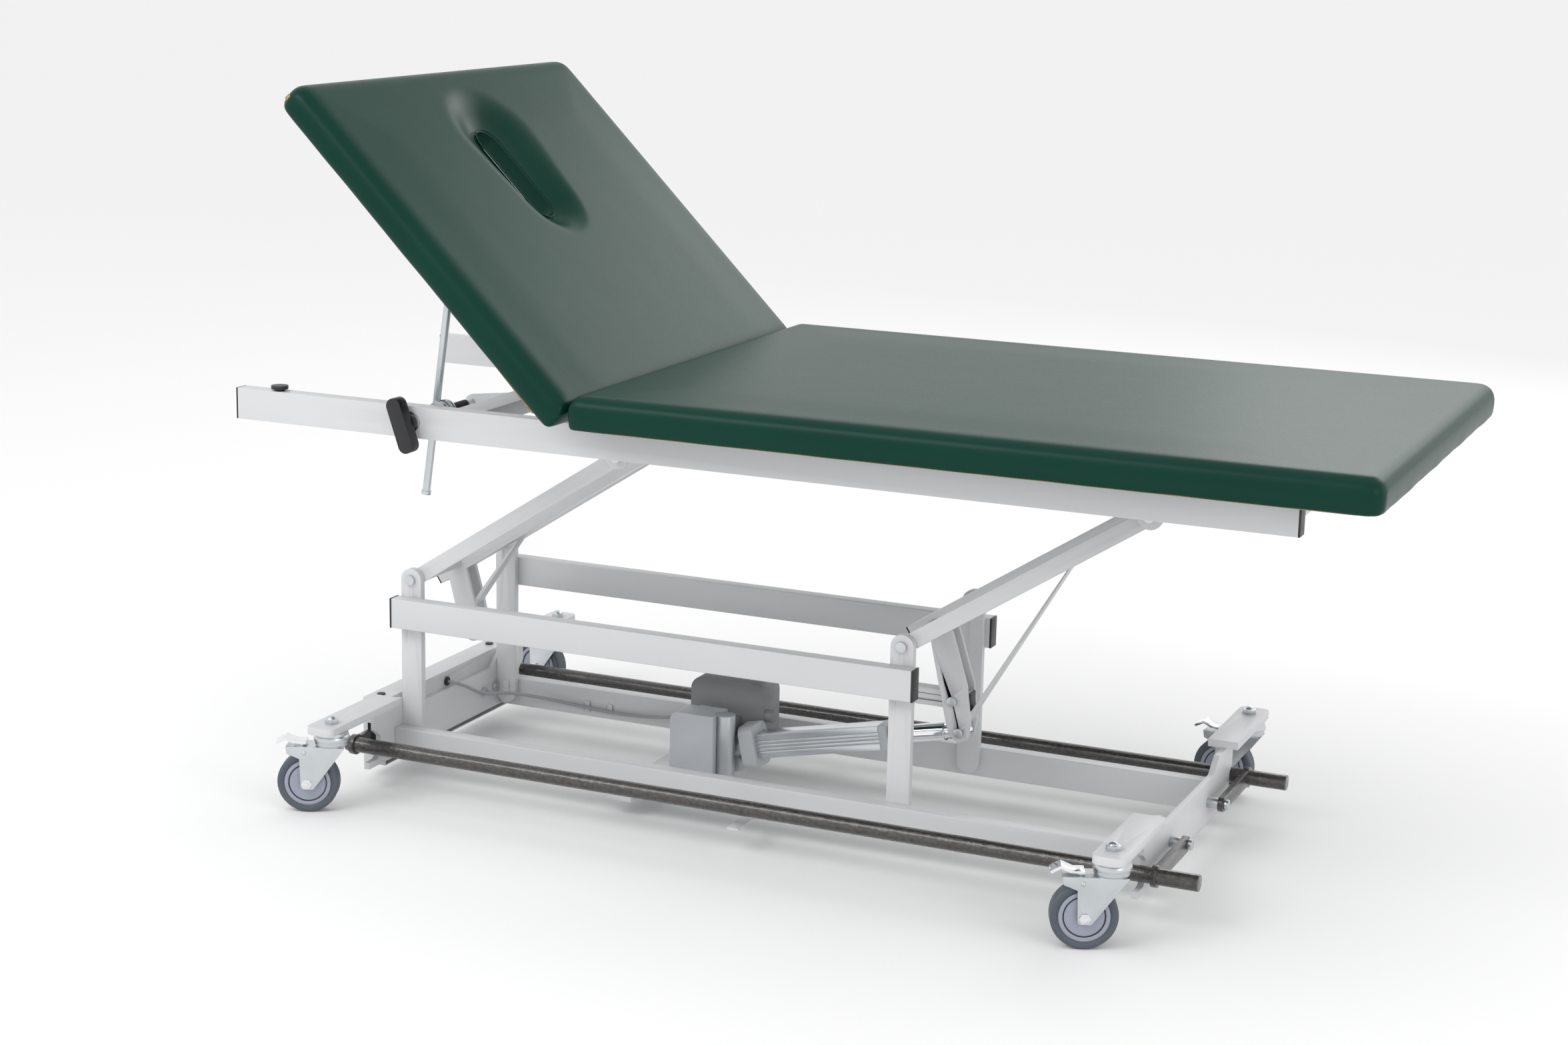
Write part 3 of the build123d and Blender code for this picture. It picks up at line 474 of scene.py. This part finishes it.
def slot_distance(p):
    """Distance from the face slot's centre line, which runs between its two round ends."""
    nearest = np.clip(p[:, 0], *SLOT_CENTRES)
    return np.hypot(p[:, 0] - nearest, p[:, 1])


def slot_outline(radius, steps):
    """Points round the slot's two ends at a radius, anticlockwise from the head end's near side."""
    points = []
    for centre, first in ((SLOT_CENTRES[1], -pi / 2), (SLOT_CENTRES[0], pi / 2)):
        for step in range(steps + 1):
            turn = first + pi * step / steps
            points.append((centre + radius * cos(turn), radius * sin(turn)))
    return points


def slot_cutter():
    """A prism that cuts the face slot through the backrest."""
    bm = bmesh.new()
    rim = slot_outline(SLOT_HALF, 16)
    lower = [bm.verts.new((x, y, -CUTTER_REACH)) for x, y in rim]
    upper = [bm.verts.new((x, y, CUTTER_REACH)) for x, y in rim]
    bm.faces.new(reversed(lower))
    bm.faces.new(upper)
    for index in range(len(rim)):
        after = (index + 1) % len(rim)
        bm.faces.new((lower[index], lower[after], upper[after], upper[index]))
    return object_of(bm, "slot_cutter")


def make_backrest():
    low = Vector((-22 * MM, -HALF_WIDE + 1.5 * MM, -BACK_HALF - 0.6 * MM))
    high = Vector((BACK_LONG - 1.5 * MM, HALF_WIDE - 1.5 * MM, BACK_HALF - 1.5 * MM))
    bm = padded_box(low, high, (10 * MM, 26 * MM), 25 * MM, 2.5 * MM)
    piece = object_of(bm, "backrest_vinyl")
    remesh(piece, 6)
    cutter = slot_cutter()
    cut = piece.modifiers.new("cut", "BOOLEAN")
    cut.operation = "DIFFERENCE"
    cut.object = cutter
    cut.solver = "EXACT"
    remesh(piece, 4)
    bpy.data.objects.remove(cutter)
    p = points_of(piece.data)
    # The face hollow: the top dips toward the slot, farther at the head end.
    top = smooth_step(p[:, 2], 0.0, high.z)
    reach = slot_distance(p)
    head = smooth_step(p[:, 0], SLOT_X[0], SLOT_X[1]) * 30 * MM
    hollow = 1 - smooth_step(reach, SLOT_HALF + 2 * MM, SLOT_HALF + 62 * MM + head)
    p[:, 2] -= top * hollow ** 1.5 * 26 * MM
    inward = np.minimum(BACK_LONG - p[:, 0], HALF_WIDE - np.abs(p[:, 1]))
    lower_crown(p, top, inward)
    draw_in(p, low, high, 1.4, 0.7)
    # The foot end is rounded about the hinge axis.
    foot = p[:, 0] < 0
    radius = np.hypot(p[:, 0], p[:, 2])
    limit = BACK_HALF - 0.6 * MM
    shrink = np.where(foot & (radius > limit), limit / np.maximum(radius, 1e-9), 1)
    p[:, 0] *= shrink
    p[:, 2] = np.where(foot, p[:, 2] * shrink, p[:, 2])
    set_points(piece.data, p)
    piece.data.transform(BACK)
    finish_cushion(piece, "backrest", "backrest_cushion")


def slot_bead():
    """A bead of vinyl all round the face slot's rim."""
    rim_z = BACK_HALF - BEAD_DROP
    line = [(x, y, rim_z) for x, y in slot_outline(SLOT_HALF + BEAD_OUT, 24)]
    bm = strand(line, BEAD_R, closed=True)
    bm.transform(BACK)
    make_piece("slot_seam", bm, VINYL, "backrest")


make_seat()
make_backrest()
slot_bead()


# ---- details -------------------------------------------------------------------------------
# Outlines as (radius, height) in millimetres: the hub's about its face, the rest about the caster's own axes.
SIDES = ((1, "a"), (-1, "b"))
HUB_FACE = 13 * MM
# A near-black ring in the hub face's groove; its colour is painted shade for the groove.
GROOVE_SHADE_RING = ((29.5, -1.0), (29.5, 0.35), (29.9, 0.6), (30.9, 0.6), (31.3, 0.35), (31.3, -1.0))
RAISED_RIM = ((31.6, -1.0), (31.6, 0.9), (32.4, 1.4), (37.0, 1.4), (37.8, 0.8), (37.8, -1.0))
RACEWAY = ((22, 112.2), (25.5, 113), (27.4, 116), (26.6, 119), (28.6, 121.5), (29.2, 125), (28.0, 129.5),
           (24.5, 133.2), (19, 134.6))
AXLE_NUT = ((8.6, 20.2), (8.6, 25.2), (7.6, 26), (4.6, 26.1), (4.6, 29), (3.8, 29.8))
RIVET = ((3.6, 19.8), (3.4, 21.0), (2.2, 21.8), (0.4, 22.0))


def clamp_coil():
    """The coil spring on the clamp shaft, in place of its plain sleeve."""
    low, high = (Vector(v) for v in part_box("clamp_spring"))
    centre = (low + high) / 2
    wire = 1.1 * MM
    radius = (high.x - low.x) / 2 - wire
    turns = 15
    steps = turns * 18
    line = []
    for step in range(steps + 1):
        turn = 2 * pi * turns * step / steps
        y = low.y + wire + (high.y - low.y - 2 * wire) * step / steps
        line.append((centre.x + radius * cos(turn), y, centre.z + radius * sin(turn)))
    piece = make_piece("clamp_coil", strand(line, wire), SPRING_BLACK, "top_frame")
    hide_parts("clamp_spring")


def hub_details(name):
    """A near-black ring painted into the hub's groove as its shade, and the raised rim, on both faces of a wheel's
    hub.
    """
    roll = JOINTS[f"roll_{name}"]
    centre = Vector(roll["pos_m"])
    axis = Vector(roll["axis"])
    wheel = f"wheel_{name}"
    for side, tag in SIDES:
        place = along(axis * side, centre + axis * side * HUB_FACE)
        make_piece(f"hub_groove_shade_{name}_{tag}", ring_lathe(GROOVE_SHADE_RING, place), GROOVE_SHADE, wheel)
        make_piece(f"hub_rim_{name}_{tag}", ring_lathe(RAISED_RIM, place), HUB, wheel)


def ring_lathe(profile, place, steps=64):
    """A closed ring turned from a closed outline in millimetres."""
    bm = bmesh.new()
    rings = []
    for step in range(steps):
        turn = 2 * pi * step / steps
        rings.append([bm.verts.new((r * MM * cos(turn), r * MM * sin(turn), z * MM)) for r, z in profile])
    count = len(profile)
    for step in range(steps):
        here = rings[step]
        there = rings[(step + 1) % steps]
        for index in range(count):
            after = (index + 1) % count
            bm.faces.new((here[index], there[index], there[after], here[after]))
    bm.transform(place)
    bmesh.ops.recalc_face_normals(bm, faces=bm.faces)
    return bm


def caster_details(name):
    """Raceway cup with its bead, axle nut and rivet on the fork."""
    swivel = JOINTS[f"swivel_{name}"]
    roll = JOINTS[f"roll_{name}"]
    x, y, _ = swivel["pos_m"]
    fork = f"fork_{name}"
    bm = lathe(RACEWAY, Matrix.Translation((x, y, 0)), 64)
    make_piece(f"raceway_{name}", bm, ZINC, fork)
    axis = Vector(roll["axis"])
    centre = Vector(roll["pos_m"])
    back = Vector((x, y, 0)) - Vector((centre.x, centre.y, 0))
    for side, tag in SIDES:
        bm = lathe(AXLE_NUT, along(axis * side, centre), 6)
        make_piece(f"axle_nut_{name}_{tag}", bm, CHROME, fork, smooth=False)
        spot = centre - back.normalized() * 4 * MM + Vector((0, 0, 52 * MM))
        bm = lathe(RIVET, along(axis * side, spot), 20)
        make_piece(f"rivet_{name}_{tag}", bm, ZINC, fork)


CASTER_NAMES = [name[len("swivel_"):] for name in JOINTS if name.startswith("swivel_")]
clamp_coil()
for caster in CASTER_NAMES:
    hub_details(caster)
    caster_details(caster)


# ---- stage ---------------------------------------------------------------------------------
def area_light(name, place, target, size, power):
    data = bpy.data.lights.new(name, "AREA")
    data.shape = "RECTANGLE"
    data.size, data.size_y = size
    data.energy = power
    light = bpy.data.objects.new(name, data)
    light.location = place
    light.rotation_euler = (Vector(target) - Vector(place)).to_track_quat("-Z", "Y").to_euler()
    bpy.context.scene.collection.objects.link(light)


FLOOR_GAP = 0.5 * MM
floor_mesh = bmesh.new()
bmesh.ops.create_grid(floor_mesh, x_segments=1, y_segments=1, size=120)
floor = object_of(floor_mesh, "floor")
floor.location.z = -FLOOR_GAP
floor_shader = Shader("floor_pale", (0.9, 0.9, 0.9), 0.7, Specular_IOR_Level=0.1)
floor.data.materials.append(floor_shader.material)

world = bpy.data.worlds.new("world")
world.use_nodes = True
world.node_tree.nodes["Background"].inputs["Color"].default_value = (1, 1, 1, 1)
world.node_tree.nodes["Background"].inputs["Strength"].default_value = 0.98
bpy.context.scene.world = world
area_light("key", (-1.8, -3.2, 3.4), (0, 0, 0.6), (2.6, 1.8), 60)
area_light("back", (1.0, 4.2, 2.6), (0, 0, 0.8), (3.5, 1.4), 34)
area_light("fill", (4.2, -2.2, 1.8), (0, 0, 0.4), (1.8, 1.8), 22)
bpy.context.scene.view_settings.view_transform = "Standard"
